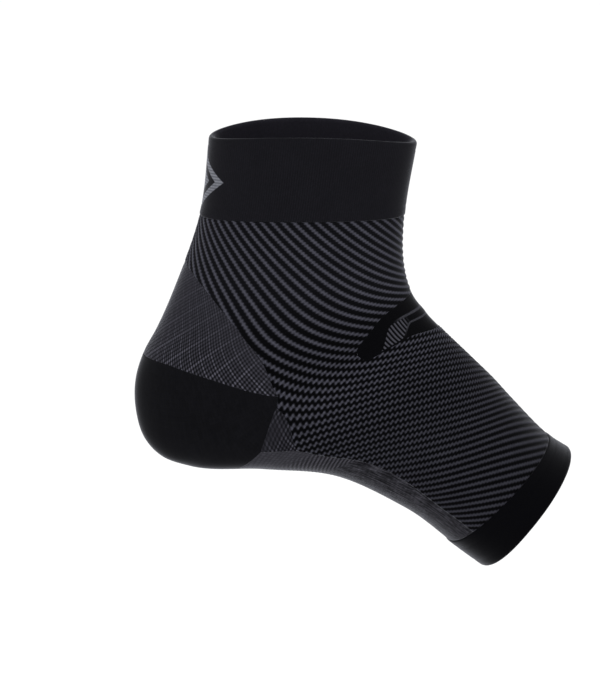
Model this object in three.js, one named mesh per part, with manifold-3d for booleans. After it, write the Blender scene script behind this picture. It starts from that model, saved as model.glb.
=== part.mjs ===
// Knitted arch support sleeve: open at the ankle and at the toes, kept in its worn shape.
// Millimetres. +Z runs up the leg and +X towards the toes. The origin is the centre of the ankle opening.
import * as THREE from 'three';
import { mergeVertices } from 'three/addons/utils/BufferGeometryUtils.js';
import Module from 'manifold-3d';

const wasm = await Module();
wasm.setup();

// Driving dimensions
const ANKLE_DEPTH = 82;          // front to back at the ankle opening
const ANKLE_WIDTH = 62;          // side to side at the ankle opening
const HEEL_DEPTH = 124;          // from the corner of the heel to the bend of the instep
const HEEL_WIDTH = 69;
const TOE_DEPTH = 57;            // from the sole to the back of the foot at the toe opening
const TOE_WIDTH = 89;
const TOE_REACH = 85.4;          // how far the toe opening's centre lies ahead of the ankle opening's
const TOE_DROP = 149.8;          // how far it lies below it
const ANKLE_CUFF_HEIGHT = 31;
const TOE_CUFF_LENGTH = 14.5;
const RIM_RISE = 4.0;            // how far the ankle rim climbs at its sides
const KNIT_WALL = 1.5;
const CUFF_WALL = 2.4;           // two layers of knit
const CUFF_STEP = 0.5;           // how far a cuff stands proud of the knit beside it
const SEAM_GAP = 0.3;            // clear space between neighbouring zones

// Fineness of the facets
const STEPS_AROUND = 36;
const STEPS_PER_ROW = 3;
const STEPS_PER_BEND = 3;
const STEPS_IN_FOLD = 4;
const STEPS_IN_HALF_SECTION = 180;
const NORMAL_REACH = 0.5;        // distance over which the slope of the surface is taken

// Sections across the sleeve, from the ankle rim to the toe rim. reach and drop place the middle of each
// section as shares of TOE_REACH and TOE_DROP, and tilt turns it in degrees. Its depth and width are shares
// of the sizes of the part of the foot that it follows. belly is where along its depth it is widest, counted
// from the back. Its back and front ends are rounded by their own powers, where 2 is an ellipse, and rise is
// a share of RIM_RISE.
const SIZES = {
  ankle: { depth: ANKLE_DEPTH, width: ANKLE_WIDTH },
  heel: { depth: HEEL_DEPTH, width: HEEL_WIDTH },
  toe: { depth: TOE_DEPTH, width: TOE_WIDTH },
};
const SECTION_COLUMNS = ['part', 'reach', 'drop', 'tilt', 'depth', 'width', 'belly', 'back', 'front', 'rise'];
const SECTIONS = [
  ['ankle', 0.000, 0.000, -1.7, 1.00, 1.00, 0.50, 2.10, 2.10, 1.0],
  ['ankle', -0.052, 0.206, -0.1, 0.99, 0.98, 0.50, 2.10, 2.10, 0.3],
  ['ankle', -0.094, 0.332, 2.1, 1.07, 1.02, 0.50, 2.10, 2.05, 0.0],
  ['heel', -0.141, 0.463, 8.8, 0.83, 0.97, 0.48, 2.05, 2.00, 0.0],
  ['heel', -0.162, 0.511, 11.6, 0.90, 0.99, 0.47, 2.05, 2.00, 0.0],
  ['heel', -0.165, 0.552, 14.3, 0.95, 0.99, 0.46, 2.10, 2.00, 0.0],
  ['heel', -0.154, 0.597, 18.1, 0.985, 0.99, 0.46, 2.15, 2.00, 0.0],
  ['heel', -0.125, 0.643, 22.5, 1.00, 1.00, 0.45, 2.20, 2.00, 0.0],
  ['heel', -0.072, 0.676, 25.3, 0.985, 1.00, 0.44, 2.25, 2.00, 0.0],
  ['heel', 0.006, 0.698, 27.4, 0.933, 1.01, 0.43, 2.30, 2.00, 0.0],
  ['heel', 0.217, 0.728, 29.3, 0.766, 1.06, 0.41, 2.35, 2.00, 0.0],
  ['toe', 0.452, 0.770, 31.9, 1.30, 0.86, 0.40, 2.40, 2.00, 0.0],
  ['toe', 0.676, 0.851, 41.4, 1.07, 0.92, 0.41, 2.40, 2.05, 0.0],
  ['toe', 0.903, 0.961, 45.3, 1.00, 0.98, 0.43, 2.40, 2.10, 0.0],
  ['toe', 1.000, 1.000, 50.7, 1.00, 1.00, 0.45, 2.35, 2.15, 0.0],
].map((row) => Object.fromEntries(row.map((value, i) => [SECTION_COLUMNS[i], value])));

// Lines that part the zones, seen from the side. Each point is [share of the way along the sleeve's middle
// from the ankle rim to the toe rim, share of the section's depth from the back to the front].
const HEEL_CORNER = [0.468, 0.456];
const HEEL_EDGE = [0.485, 0.428];
const GUSSET_FOOT = [0.560, 0.209];
const GUSSET_TOE = [0.602, 0.240];
const PATCH_SIDE = [0.431, 0.757];
const PATCH_TIP = [0.456, 0.742];
const PATCH_HEM = [0.479, 0.765];
const LINES = {
  achillesTop: [[0.225, -0.08], [0.232, 0.00], [0.284, 0.168], [0.346, 0.333], [0.400, 0.430], HEEL_CORNER],
  heelTop: [[0.362, -0.08], [0.366, 0.00], [0.382, 0.122], [0.416, 0.285], HEEL_CORNER],
  heelFrontTop: [HEEL_CORNER, HEEL_EDGE],
  heelFrontSide: [HEEL_EDGE, [0.521, 0.332], GUSSET_FOOT],
  heelFrontUnder: [GUSSET_FOOT, [0.581, 0.080], [0.600, -0.080]],
  gussetFront: [HEEL_EDGE, [0.510, 0.419], [0.549, 0.360], GUSSET_TOE],
  gussetUnder: [GUSSET_FOOT, GUSSET_TOE],
  soleTop: [
    GUSSET_TOE, [0.660, 0.222], [0.703, 0.228], [0.763, 0.222], [0.800, 0.212], [0.853, 0.190],
    [0.904, 0.200], [0.960, 0.205],
  ],
  split: [HEEL_CORNER, PATCH_TIP],
  patchTop: [[0.328, 1.080], [0.340, 1.000], [0.372, 0.873], [0.409, 0.800], PATCH_SIDE],
  patchTipTop: [PATCH_SIDE, [0.442, 0.744], PATCH_TIP],
  patchTipUnder: [PATCH_TIP, [0.470, 0.749], PATCH_HEM],
  patchUnder: [PATCH_HEM, [0.477, 0.869], [0.480, 0.930], [0.511, 1.000], [0.520, 1.080]],
};

/**
 * Makes a smooth curve through the values of one column of the section table.
 * @param {number[]} knots - Places of the values, in rising order.
 * @param {number[]} values - The values themselves.
 * @returns {function(number): number} The value at any place.
 */
function smoothColumn(knots, values) {
  const last = knots.length - 1;
  const span = (i) => knots[i + 1] - knots[i];
  const rate = (i) => (values[i + 1] - values[i]) / span(i);
  const slopes = knots.map((_, i) => {
    if (i === 0) return rate(0);
    if (i === last) return rate(last - 1);
    return (span(i) * rate(i - 1) + span(i - 1) * rate(i)) / (span(i - 1) + span(i));
  });
  return (place) => {
    let i = knots.findIndex((knot) => knot > place) - 1;
    if (i < 0) i = place < knots[0] ? 0 : last - 1;
    const t = (place - knots[i]) / span(i);
    const rest = 1 - t;
    return values[i] * (1 + 2 * t) * rest * rest
      + values[i + 1] * t * t * (3 - 2 * t)
      + span(i) * (slopes[i] * t * rest * rest - slopes[i + 1] * t * t * rest);
  };
}

/** Real sizes of one row of the section table. */
function measured(row) {
  const size = SIZES[row.part];
  return {
    x: row.reach * TOE_REACH,
    z: -row.drop * TOE_DROP,
    tilt: THREE.MathUtils.degToRad(row.tilt),
    depth: row.depth * size.depth,
    halfWidth: row.width * size.width / 2,
    belly: row.belly,
    back: row.back,
    front: row.front,
    rise: row.rise * RIM_RISE,
  };
}

const ROWS = SECTIONS.map(measured);
const STATIONS = [0];
for (let i = 1; i < ROWS.length; i += 1) {
  STATIONS.push(STATIONS[i - 1] + Math.hypot(ROWS[i].x - ROWS[i - 1].x, ROWS[i].z - ROWS[i - 1].z));
}
const LENGTH = STATIONS[STATIONS.length - 1];
const COLUMNS = Object.keys(ROWS[0]).map((name) => {
  const values = ROWS.map((row) => row[name]);
  return [name, smoothColumn(STATIONS, values)];
});

/** The section at a length in millimetres along the sleeve's middle. */
function sectionAt(length) {
  return Object.fromEntries(COLUMNS.map(([name, value]) => [name, value(length)]));
}

/** Side-view point of a section, where across is 0 at its back or sole and 1 at its front. */
function sidePoint(length, across) {
  const section = sectionAt(length);
  const along = (across - 0.5) * section.depth;
  return new THREE.Vector2(Math.cos(section.tilt), Math.sin(section.tilt))
    .multiplyScalar(along)
    .add(new THREE.Vector2(section.x, section.z));
}

/**
 * Evenly spaced points round the knit's outer face.
 * @param {number} length - Place along the sleeve's middle.
 * @param {number} count - Points in the ring, counted from the middle of the back or sole.
 * @returns {THREE.Vector3[]} The ring, with its first half on the -Y side.
 */
function outerRing(length, count) {
  const section = sectionAt(length);
  const fine = STEPS_IN_HALF_SECTION;
  const half = [];
  for (let i = 0; i <= fine; i += 1) {
    const angle = Math.PI * i / fine;
    const towardsBack = Math.cos(angle) > 0;
    const power = towardsBack ? section.back : section.front;
    const reach = Math.abs(Math.cos(angle)) ** (2 / power);
    const side = Math.sin(angle) ** (2 / power);
    const across = section.belly + (towardsBack ? -section.belly : 1 - section.belly) * reach;
    const along = (across - 0.5) * section.depth;
    half.push(new THREE.Vector3(
      section.x + along * Math.cos(section.tilt),
      -section.halfWidth * side,
      section.z + along * Math.sin(section.tilt) + section.rise * side * side,
    ));
  }
  const walked = [0];
  for (let i = 1; i <= fine; i += 1) walked.push(walked[i - 1] + half[i].distanceTo(half[i - 1]));
  const ring = [];
  for (let i = 0; i < count; i += 1) {
    const turn = i / count;
    const goal = walked[fine] * 2 * Math.min(turn, 1 - turn);
    let k = 1;
    while (k < fine && walked[k] < goal) k += 1;
    const point = half[k - 1].clone().lerp(half[k], (goal - walked[k - 1]) / (walked[k] - walked[k - 1]));
    if (turn > 0.5) point.y = -point.y;
    ring.push(point);
  }
  return ring;
}

/**
 * Points that lie off the knit's outer face, along its normals.
 * @param {number} length - Place along the sleeve's middle.
 * @param {number} offset - Distance outwards from the knit's outer face.
 */
function offsetRing(length, offset) {
  const ring = outerRing(length, STEPS_AROUND);
  const above = outerRing(length - NORMAL_REACH, STEPS_AROUND);
  const below = outerRing(length + NORMAL_REACH, STEPS_AROUND);
  return ring.map((point, i) => {
    const next = ring[(i + 1) % STEPS_AROUND];
    const before = ring[(i + STEPS_AROUND - 1) % STEPS_AROUND];
    const round = next.clone().sub(before);
    const down = below[i].clone().sub(above[i]);
    return point.clone().addScaledVector(down.cross(round).normalize(), offset);
  });
}

/**
 * Closed tube of the sleeve's shape from a closed profile through its wall.
 * @param {number[][]} profile - [length, offset] pairs, down the outer face and up the inner one.
 */
function tube(profile) {
  const positions = [];
  const triangles = [];
  profile.forEach(([length, offset]) => {
    offsetRing(length, offset).forEach((point) => positions.push(point.x, point.y, point.z));
  });
  for (let i = 0; i < profile.length; i += 1) {
    for (let j = 0; j < STEPS_AROUND; j += 1) {
      const here = i * STEPS_AROUND;
      const below = ((i + 1) % profile.length) * STEPS_AROUND;
      const next = (j + 1) % STEPS_AROUND;
      triangles.push(here + j, below + j, below + next, here + j, below + next, here + next);
    }
  }
  const geometry = new THREE.BufferGeometry();
  geometry.setAttribute('position', new THREE.Float32BufferAttribute(positions, 3));
  geometry.setIndex(triangles);
  return geometry;
}

/** Lengths along the sleeve between two places, denser where the section table is. */
function lengthsBetween(start, end) {
  const marks = [start, ...STATIONS.filter((station) => station > start + 1 && station < end - 1), end];
  const lengths = [start];
  for (let i = 1; i < marks.length; i += 1) {
    for (let k = 1; k <= STEPS_PER_ROW; k += 1) {
      lengths.push(THREE.MathUtils.lerp(marks[i - 1], marks[i], k / STEPS_PER_ROW));
    }
  }
  return lengths;
}

/** Tube of even wall with square ends, from one length to another. */
function knitTube(start, end) {
  const lengths = lengthsBetween(start, end);
  const outer = lengths.map((length) => [length, 0]);
  const inner = lengths.slice().reverse().map((length) => [length, -KNIT_WALL]);
  return tube([...outer, ...inner]);
}

/**
 * Double-layer cuff with a rounded fold at the open rim and a softened edge at the knit.
 * @param {number} rim - Length of the open rim.
 * @param {number} edge - Length of the edge that meets the knit.
 */
function cuffTube(rim, edge) {
  const inwards = Math.sign(edge - rim);
  const radius = CUFF_WALL / 2;
  const middle = CUFF_STEP - radius;
  const fold = [];
  for (let i = 0; i <= STEPS_IN_FOLD; i += 1) {
    const angle = Math.PI * i / STEPS_IN_FOLD;
    fold.push([rim + inwards * radius * (1 - Math.sin(angle)), middle - radius * Math.cos(angle)]);
  }
  const chamfer = CUFF_STEP / 2;
  const lengths = [1 / 3, 2 / 3].map((share) => THREE.MathUtils.lerp(rim + inwards * radius, edge, share));
  const outer = lengths.map((length) => [length, CUFF_STEP]);
  const inner = lengths.slice().reverse().map((length) => [length, CUFF_STEP - CUFF_WALL]);
  const end = [
    [edge - inwards * chamfer, CUFF_STEP],
    [edge, CUFF_STEP - chamfer],
    [edge, CUFF_STEP - CUFF_WALL],
  ];
  const profile = [...outer, ...end, ...inner, ...fold];
  return tube(inwards > 0 ? profile : profile.reverse());
}

/** Side-view polyline of a parting line. */
function sideLine(points) {
  const curve = new THREE.SplineCurve(points.map(([along, across]) => new THREE.Vector2(along, across)));
  const steps = points.length === 2 ? 1 : STEPS_PER_BEND * (points.length - 1);
  return curve.getPoints(steps).map((point) => sidePoint(point.x * LENGTH, point.y));
}

/** Prism through the sleeve from side to side, from a side-view outline. */
function prism(outline, from = -TOE_WIDTH, to = TOE_WIDTH) {
  const shape = new THREE.Shape(outline);
  const geometry = new THREE.ExtrudeGeometry(shape, { depth: to - from, bevelEnabled: false });
  geometry.rotateX(Math.PI / 2);
  geometry.translate(0, to, 0);
  return solid(geometry);
}

/** Thin prism along a parting line, which opens the gap between two zones. */
function seamCut(line) {
  const reach = SEAM_GAP / 2;
  const left = [];
  const right = [];
  line.forEach((point, i) => {
    const before = line[Math.max(i - 1, 0)];
    const after = line[Math.min(i + 1, line.length - 1)];
    const run = after.clone().sub(before).normalize();
    const side = new THREE.Vector2(-run.y, run.x).multiplyScalar(reach);
    const isEnd = i === 0 ? -1 : Number(i === line.length - 1);
    const place = point.clone().addScaledVector(run, isEnd * reach);
    left.push(place.clone().add(side));
    right.unshift(place.clone().sub(side));
  });
  return prism([...right, ...left]);
}

/** Boolean solid of a closed geometry. */
function solid(geometry) {
  geometry.deleteAttribute('normal');
  geometry.deleteAttribute('uv');
  const merged = mergeVertices(geometry);
  return new wasm.Manifold(new wasm.Mesh({
    numProp: 3,
    vertProperties: merged.attributes.position.array,
    triVerts: new Uint32Array(merged.index.array),
  }));
}

/** Geometry of a boolean solid. */
function geometryOf(body) {
  const { vertProperties, triVerts } = body.getMesh();
  const geometry = new THREE.BufferGeometry();
  geometry.setAttribute('position', new THREE.BufferAttribute(vertProperties, 3));
  geometry.setIndex(new THREE.BufferAttribute(triVerts, 1));
  return geometry;
}

const FINISHES = {
  cuff: { color: 0x1b1a1f, roughness: 0.95 },
  ribs: { color: 0x27272c, roughness: 0.95 },
  checker: { color: 0x2e2d34, roughness: 0.95 },
  plain: { color: 0x141418, roughness: 0.95 },
  sole: { color: 0x313036, roughness: 0.95 },
};

/** Named mesh in one of the finishes. */
function piece(name, geometry, finish) {
  geometry.computeVertexNormals();
  const material = new THREE.MeshStandardMaterial({ ...FINISHES[finish], metalness: 0 });
  const mesh = new THREE.Mesh(geometry, material);
  mesh.name = name;
  return mesh;
}

/** Cuts the knitted tube between the cuffs into its zones. */
function knitZones() {
  const line = Object.fromEntries(Object.entries(LINES).map(([name, points]) => [name, sideLine(points)]));
  const at = (along, across) => sidePoint(along * LENGTH, across);
  const back = (points) => points.slice().reverse();
  const start = ANKLE_CUFF_HEIGHT + SEAM_GAP;
  const end = LENGTH - TOE_CUFF_LENGTH - SEAM_GAP;
  const whole = Object.values(line).reduce(
    (body, points) => body.subtract(seamCut(points)),
    solid(knitTube(start, end)),
  );

  const heelFront = [...line.heelFrontTop, ...line.heelFrontSide, ...line.heelFrontUnder];
  const patchEdge = [...line.patchTop, ...line.patchTipTop, ...line.patchTipUnder, ...line.patchUnder];
  const heel = prism([...line.heelTop, ...heelFront, at(0.60, -0.4), at(0.50, -0.4), at(0.40, -0.4)]);
  const achilles = prism([...line.achillesTop, ...back(line.heelTop), at(0.30, -0.3)]);
  const patch = prism([...patchEdge, at(0.50, 1.3), at(0.34, 1.3)]);
  const soleEdge = [...back(line.heelFrontUnder), ...line.gussetUnder, ...line.soleTop];
  const sole = prism([...soleEdge, at(1.0, 0.18), at(1.0, -0.5), at(0.80, -0.5), at(0.66, -0.5)]);
  const gussetEdge = [...line.heelFrontSide, ...line.gussetUnder, ...back(line.gussetFront)];
  const above = prism([
    ...line.split, at(0.46, 0.9), at(0.45, 1.3), at(0.0, 2.0), at(0.0, -1.0), at(0.30, -0.3), at(0.38, 0.1),
  ]);

  const gussets = prism(gussetEdge);
  const ribbed = [heel, achilles, patch, sole, gussets].reduce((body, zone) => body.subtract(zone), whole);
  return {
    leg: ribbed.intersect(above),
    achilles: whole.intersect(achilles),
    heel: whole.intersect(heel),
    gussetRight: whole.intersect(prism(gussetEdge, -TOE_WIDTH, 0)),
    gussetLeft: whole.intersect(prism(gussetEdge, 0, TOE_WIDTH)),
    foot: ribbed.subtract(above),
    sole: whole.intersect(sole),
    patch: whole.intersect(patch),
  };
}

/** The whole sleeve as one group of named pieces. */
function buildSleeve() {
  const zones = knitZones();
  const sleeve = new THREE.Group();
  sleeve.name = 'arch_support_sleeve';
  sleeve.add(
    piece('ankle_cuff', cuffTube(0, ANKLE_CUFF_HEIGHT), 'cuff'),
    piece('leg_sleeve', geometryOf(zones.leg), 'ribs'),
    piece('achilles_panel', geometryOf(zones.achilles), 'checker'),
    piece('heel_pocket', geometryOf(zones.heel), 'plain'),
    piece('gusset_right', geometryOf(zones.gussetRight), 'checker'),
    piece('gusset_left', geometryOf(zones.gussetLeft), 'checker'),
    piece('foot_sleeve', geometryOf(zones.foot), 'ribs'),
    piece('sole_band', geometryOf(zones.sole), 'sole'),
    piece('instep_patch', geometryOf(zones.patch), 'plain'),
    piece('toe_cuff', cuffTube(LENGTH, LENGTH - TOE_CUFF_LENGTH), 'cuff'),
  );
  return sleeve;
}

const group = buildSleeve();
export default group;
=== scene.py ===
"""Looks of a knitted arch support sleeve: each zone of its knit is laid on one smooth surface of the foot."""

from __future__ import annotations

import logging
import math
from dataclasses import dataclass
from enum import Enum
from typing import Callable, ClassVar, NamedTuple

import bmesh
import bpy
import numpy as np
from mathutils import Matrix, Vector

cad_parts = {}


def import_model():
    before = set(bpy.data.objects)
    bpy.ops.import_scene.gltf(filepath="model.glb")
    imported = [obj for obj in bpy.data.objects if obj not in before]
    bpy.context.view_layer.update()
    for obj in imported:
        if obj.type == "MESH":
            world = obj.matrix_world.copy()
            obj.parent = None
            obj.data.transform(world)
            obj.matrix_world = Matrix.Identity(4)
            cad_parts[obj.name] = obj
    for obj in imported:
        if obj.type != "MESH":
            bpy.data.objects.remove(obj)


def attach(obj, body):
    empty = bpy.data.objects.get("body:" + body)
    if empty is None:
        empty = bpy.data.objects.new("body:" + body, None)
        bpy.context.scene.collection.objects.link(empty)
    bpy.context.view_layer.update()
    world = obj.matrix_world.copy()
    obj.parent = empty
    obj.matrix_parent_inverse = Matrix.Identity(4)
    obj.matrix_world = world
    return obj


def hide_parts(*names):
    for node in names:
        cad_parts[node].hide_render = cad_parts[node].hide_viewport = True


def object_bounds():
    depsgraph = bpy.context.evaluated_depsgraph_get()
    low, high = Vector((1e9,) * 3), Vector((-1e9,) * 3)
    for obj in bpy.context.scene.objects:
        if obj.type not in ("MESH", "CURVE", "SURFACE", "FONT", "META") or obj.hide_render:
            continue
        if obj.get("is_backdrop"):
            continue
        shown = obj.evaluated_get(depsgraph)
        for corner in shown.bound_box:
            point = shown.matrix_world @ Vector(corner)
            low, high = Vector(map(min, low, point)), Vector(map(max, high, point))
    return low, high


LOG = logging.getLogger("sleeve")
MM = 0.001

Array = np.ndarray
SidePoint = tuple[float, float]


class Section(NamedTuple):
    """One section across the sleeve, as shares of the sizes of the part of the foot that it follows."""

    part: str
    reach: float
    drop: float
    tilt: float
    depth: float
    width: float
    belly: float
    back: float
    front: float
    rise: float


SECTIONS = (
    Section("ankle", 0.000, 0.000, -1.7, 1.00, 1.00, 0.50, 2.10, 2.10, 1.0),
    Section("ankle", -0.052, 0.206, -0.1, 0.99, 0.98, 0.50, 2.10, 2.10, 0.3),
    Section("ankle", -0.094, 0.332, 2.1, 1.07, 1.02, 0.50, 2.10, 2.05, 0.0),
    Section("heel", -0.141, 0.463, 8.8, 0.83, 0.97, 0.48, 2.05, 2.00, 0.0),
    Section("heel", -0.162, 0.511, 11.6, 0.90, 0.99, 0.47, 2.05, 2.00, 0.0),
    Section("heel", -0.165, 0.552, 14.3, 0.95, 0.99, 0.46, 2.10, 2.00, 0.0),
    Section("heel", -0.154, 0.597, 18.1, 0.985, 0.99, 0.46, 2.15, 2.00, 0.0),
    Section("heel", -0.125, 0.643, 22.5, 1.00, 1.00, 0.45, 2.20, 2.00, 0.0),
    Section("heel", -0.072, 0.676, 25.3, 0.985, 1.00, 0.44, 2.25, 2.00, 0.0),
    Section("heel", 0.006, 0.698, 27.4, 0.933, 1.01, 0.43, 2.30, 2.00, 0.0),
    Section("heel", 0.217, 0.728, 29.3, 0.766, 1.06, 0.41, 2.35, 2.00, 0.0),
    Section("toe", 0.452, 0.770, 31.9, 1.30, 0.86, 0.40, 2.40, 2.00, 0.0),
    Section("toe", 0.676, 0.851, 41.4, 1.07, 0.92, 0.41, 2.40, 2.05, 0.0),
    Section("toe", 0.903, 0.961, 45.3, 1.00, 0.98, 0.43, 2.40, 2.10, 0.0),
    Section("toe", 1.000, 1.000, 50.7, 1.00, 1.00, 0.45, 2.35, 2.15, 0.0),
)

# Corners and lines between the zones: (share of the way from the ankle rim to the toe rim, share of the
# section's depth from the back to the front).
HEEL_CORNER = (0.468, 0.456)
HEEL_EDGE = (0.485, 0.428)
GUSSET_FOOT = (0.560, 0.209)
GUSSET_TOE = (0.602, 0.240)
PATCH_SIDE = (0.431, 0.757)
PATCH_TIP = (0.456, 0.742)
PATCH_HEM = (0.479, 0.765)
ACHILLES_TOP = ((0.232, 0.000), (0.284, 0.168), (0.346, 0.333), (0.400, 0.430), HEEL_CORNER)
HEEL_TOP = ((0.366, 0.000), (0.382, 0.122), (0.416, 0.285), HEEL_CORNER)
HEEL_SIDE = (HEEL_EDGE, (0.521, 0.332), GUSSET_FOOT)
HEEL_UNDER = (GUSSET_FOOT, (0.581, 0.080), (0.591, 0.000))
GUSSET_FRONT = (HEEL_EDGE, (0.510, 0.419), (0.549, 0.360), GUSSET_TOE)
SOLE_TOP = (
    GUSSET_TOE, (0.660, 0.222), (0.703, 0.228), (0.763, 0.222), (0.800, 0.212), (0.853, 0.190),
    (0.904, 0.200), (0.931, 0.203),
)
PATCH_TOP = ((0.340, 1.000), (0.372, 0.873), (0.409, 0.800), PATCH_SIDE)
PATCH_TIP_TOP = (PATCH_SIDE, (0.442, 0.744), PATCH_TIP)
PATCH_TIP_UNDER = (PATCH_TIP, (0.470, 0.749), PATCH_HEM)
PATCH_UNDER = (PATCH_HEM, (0.477, 0.869), (0.480, 0.930), (0.511, 1.000))
SIDE_SEAM = (HEEL_CORNER, PATCH_TIP)
LOW_PATCH = (PATCH_TIP_UNDER, PATCH_UNDER)


@dataclass(frozen=True)
class SleeveSizes:
    """Driving sizes in millimetres, as the frame's solids have them."""

    ankle_depth: float = 82.0
    ankle_width: float = 62.0
    heel_depth: float = 124.0
    heel_width: float = 69.0
    toe_depth: float = 57.0
    toe_width: float = 89.0
    toe_reach: float = 85.4
    toe_drop: float = 149.8
    ankle_cuff: float = 31.0
    toe_cuff: float = 14.5
    rim_rise: float = 4.0
    knit_wall: float = 1.5
    cuff_wall: float = 2.4
    cuff_step: float = 0.5


def smooth_columns(knots: Array, values: Array, places: Array) -> Array:
    """Cubic curve through each column of a table.

    Args:
        knots: Places of the rows, rising.
        values: One row of values for each knot.
        places: Where the columns are wanted.

    Returns:
        One row of values for each place.
    """
    span = np.diff(knots)[:, None]
    rate = np.diff(values, axis=0) / span
    inner = (span[1:] * rate[:-1] + span[:-1] * rate[1:]) / (span[1:] + span[:-1])
    slope = np.vstack([rate[:1], inner, rate[-1:]])
    row = np.clip(np.searchsorted(knots, places, side="right") - 1, 0, len(knots) - 2)
    width = span[row]
    t = (places - knots[row])[:, None] / width
    rest = 1 - t
    ends = values[row] * (1 + 2 * t) * rest**2 + values[row + 1] * t**2 * (3 - 2 * t)
    return ends + width * (slope[row] * t * rest**2 - slope[row + 1] * t**2 * rest)


class SleeveSurface:
    """The knit's outer face as a fine table, read by length along the sleeve and by turn round it."""

    LENGTH_STEPS = 720
    TURN_STEPS = 480

    def __init__(self, sizes: SleeveSizes) -> None:
        """Works out the table of the near half; the far half mirrors it.

        Args:
            sizes: The driving sizes.
        """
        self.sizes = sizes
        rows = np.array([self._measured(section) for section in SECTIONS])
        self.stations = np.concatenate([[0], np.cumsum(np.hypot(*np.diff(rows[:, :2], axis=0).T))])
        self.rows = rows
        self.length = float(self.stations[-1])
        self.lengths = np.linspace(0, self.length, self.LENGTH_STEPS)
        self.turns = np.linspace(0, 0.5, self.TURN_STEPS)
        self.points, self.across = self._tabulate()
        down = np.gradient(self.points, axis=0)
        ring = np.gradient(self.points, axis=1)
        ring[:, 0] = ring[:, -1] = (0.0, 0.0, 0.0)
        ring[:, 0, 1] = -1.0
        ring[:, -1, 1] = 1.0
        normals = np.cross(down, ring)
        self.normals = normals / np.linalg.norm(normals, axis=2, keepdims=True)

    def _measured(self, section: Section) -> list[float]:
        """Real sizes of one row of the section table, in millimetres and radians.

        Args:
            section: One row of the table.

        Returns:
            Place, tilt, depth, half width, belly, the two powers and the rise.
        """
        sizes = self.sizes
        depth = getattr(sizes, f"{section.part}_depth")
        width = getattr(sizes, f"{section.part}_width")
        return [
            section.reach * sizes.toe_reach, -section.drop * sizes.toe_drop, math.radians(section.tilt),
            section.depth * depth, section.width * width / 2, section.belly, section.back, section.front,
            section.rise * sizes.rim_rise,
        ]

    def _tabulate(self) -> tuple[Array, Array]:
        """Evenly spaced points of every half section, with each one's share across the section.

        Returns:
            Points by length and turn, and their shares across.
        """
        angle = np.linspace(0, math.pi, 721)
        cosine, sine = np.cos(angle), np.sin(angle)
        points = np.zeros((self.LENGTH_STEPS, self.TURN_STEPS, 3))
        shares = np.zeros((self.LENGTH_STEPS, self.TURN_STEPS))
        table = smooth_columns(self.stations, self.rows, self.lengths)
        for i, (x, z, tilt, depth, half, belly, back, front, rise) in enumerate(table):
            power = np.where(cosine > 0, back, front)
            reach = np.abs(cosine) ** (2 / power)
            side = sine ** (2 / power)
            share = np.where(cosine > 0, belly - belly * reach, belly + (1 - belly) * reach)
            along = (share - 0.5) * depth
            height = z + along * math.sin(tilt) + rise * side**2
            ring = np.stack([x + along * math.cos(tilt), -half * side, height], 1)
            walked = np.concatenate([[0], np.cumsum(np.linalg.norm(np.diff(ring, axis=0), axis=1))])
            even = np.linspace(0, walked[-1], self.TURN_STEPS)
            points[i] = np.stack([np.interp(even, walked, ring[:, k]) for k in range(3)], 1)
            shares[i] = np.interp(even, walked, share)
        return points, shares

    def _read(self, table: Array, length: Array, turn: Array) -> Array:
        """Bilinear value of a table of the near half.

        Args:
            table: Values by length and turn.
            length: Millimetres along the middle of the sleeve.
            turn: Turns from the back, 0 to 0.5.

        Returns:
            One value for each place.
        """
        a = np.clip(length / self.length * (self.LENGTH_STEPS - 1), 0, self.LENGTH_STEPS - 1.001)
        b = np.clip(turn * 2 * (self.TURN_STEPS - 1), 0, self.TURN_STEPS - 1.001)
        i, j = a.astype(int), b.astype(int)
        u, v = (a - i)[..., None], (b - j)[..., None]
        upper = table[i, j] * (1 - v) + table[i, j + 1] * v
        lower = table[i + 1, j] * (1 - v) + table[i + 1, j + 1] * v
        return upper * (1 - u) + lower * u

    def at(self, length: Array, turn: Array) -> tuple[Array, Array]:
        """Points and outward normals of the knit's face.

        Args:
            length: Millimetres along the sleeve's middle.
            turn: Turns round it, 0 at the back or sole and 0.5 at the front; the near side is 0 to 0.5.

        Returns:
            Points in millimetres and unit normals.
        """
        wrapped = np.mod(turn, 1.0)
        half = np.minimum(wrapped, 1 - wrapped)
        far = np.where(wrapped > 0.5, -1.0, 1.0)[..., None] * np.array([0, 1, 0]) + np.array([1, 0, 1])
        points = self._read(self.points, length, half) * far
        normals = self._read(self.normals, length, half) * far
        return points, normals / np.linalg.norm(normals, axis=-1, keepdims=True)

    def turn_at(self, length: Array, across: Array) -> Array:
        """Turn on the near side of points given by their share across the section.

        Args:
            length: Millimetres along the middle of the sleeve.
            across: Shares of the depth, from the back to the front.

        Returns:
            Turns from the back, 0 to 0.5.
        """
        last = self.LENGTH_STEPS - 1
        rows = np.clip(np.round(length / self.length * last).astype(int), 0, last)
        return np.array([np.interp(share, self.across[row], self.turns) for row, share in zip(rows, across)])


class Rail:
    """A line on the surface, read by the share of its real length that has been walked."""

    def __init__(self, surface: SleeveSurface, spots: Array) -> None:
        """Measures the line through spots, which are rows of (length, turn).

        Args:
            surface: The knit's outer face.
            spots: Rows of (length, turn).
        """
        points, _ = surface.at(spots[:, 0], spots[:, 1])
        walked = np.concatenate([[0], np.cumsum(np.linalg.norm(np.diff(points, axis=0), axis=1))])
        self.spots = spots
        self.size = float(walked[-1])
        self.shares = walked / max(self.size, 1e-9)

    def at(self, share: Array) -> Array:
        """(length, turn) at shares of the line's length."""
        return np.stack([np.interp(share, self.shares, self.spots[:, k]) for k in range(2)], -1)


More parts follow.
